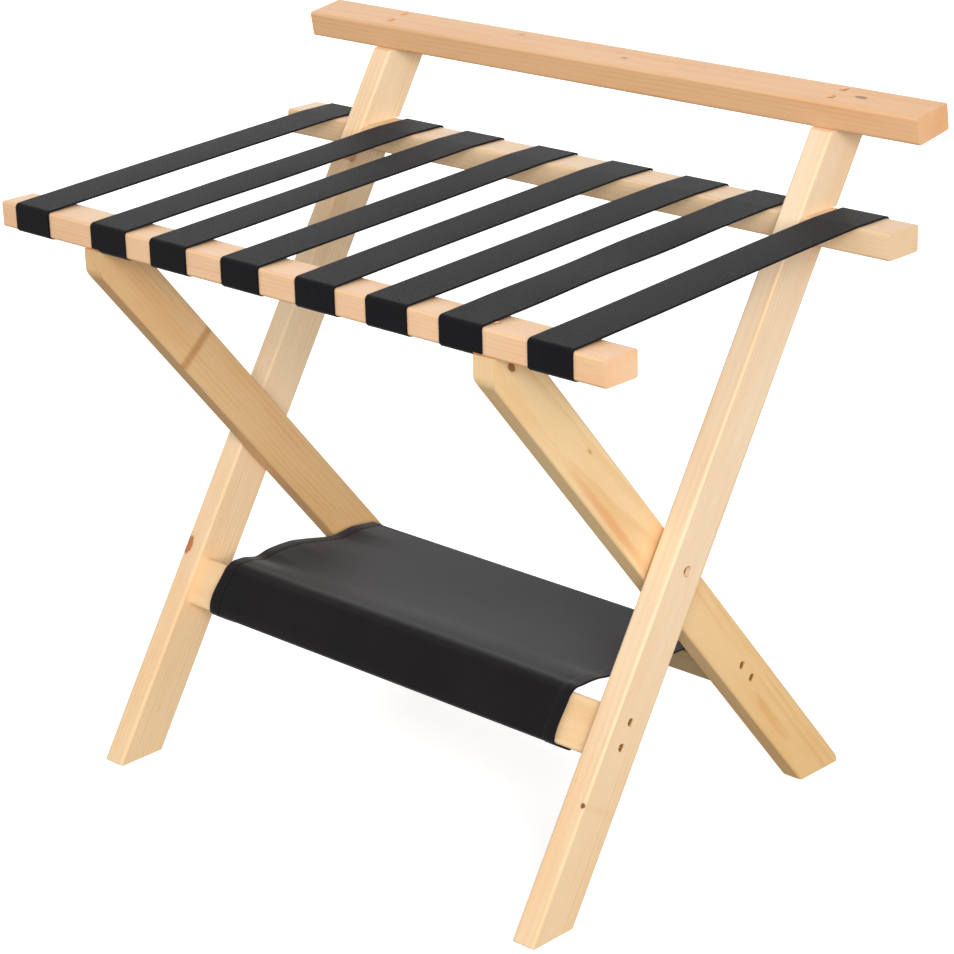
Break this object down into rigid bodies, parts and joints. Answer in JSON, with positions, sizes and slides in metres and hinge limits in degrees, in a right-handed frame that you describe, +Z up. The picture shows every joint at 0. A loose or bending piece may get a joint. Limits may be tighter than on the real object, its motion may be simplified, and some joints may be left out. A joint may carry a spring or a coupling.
{
  "type": "folding luggage rack",
  "caption": "Folding luggage rack: crossed pine legs on pivot screws carry webbing straps between two rails, with a raised handrail behind and a cloth shelf below",
  "frame": {"origin": "on the floor, under the middle of the bounding box", "axes": "+X along the rails, +Y towards the handrail side, +Z up"},
  "size_m": [0.69, 0.4286, 0.6151],
  "materials": {
    "pine": "satin",
    "pine_rail": "satin",
    "webbing": "woven",
    "shelf_cloth": "woven",
    "zinc_steel": "satin",
    "nylon": "matte"
  },
  "bodies": {
    "outer_frame": {"long_leg_left": "pine", "long_leg_right": "pine", "handrail": "pine_rail", "rear_rail": "pine_rail", "front_stretcher": "pine", "handrail_screws": "zinc_steel", "rear_rail_screws": "zinc_steel", "front_stretcher_screws": "zinc_steel", "strap_1": "webbing", "strap_2": "webbing", "strap_3": "webbing", "strap_4": "webbing", "strap_5": "webbing", "strap_6": "webbing", "strap_7": "webbing", "strap_8": "webbing", "rear_strap_staples": "zinc_steel", "shelf_cloth": "shelf_cloth", "front_cloth_staples": "zinc_steel"},
    "inner_frame": {"short_leg_left": "pine", "short_leg_right": "pine", "front_rail": "pine_rail", "rear_stretcher": "pine", "front_rail_screws": "zinc_steel", "rear_stretcher_screws": "zinc_steel", "pivot_screw_left": "zinc_steel", "pivot_screw_right": "zinc_steel", "pivot_washer_left": "nylon", "pivot_washer_right": "nylon", "front_strap_staples": "zinc_steel", "rear_cloth_staples": "zinc_steel"}
  },
  "joints": [
    {"name": "fold", "type": "hinge", "parent": "outer_frame", "child": "inner_frame", "pos_m": [0, -0.0221, 0.2625], "axis": [-1, 0, 0], "range_deg": [0, 56], "deforming": ["strap_1", "strap_2", "strap_3", "strap_4", "strap_5", "strap_6", "strap_7", "strap_8", "shelf_cloth"]}
  ]
}
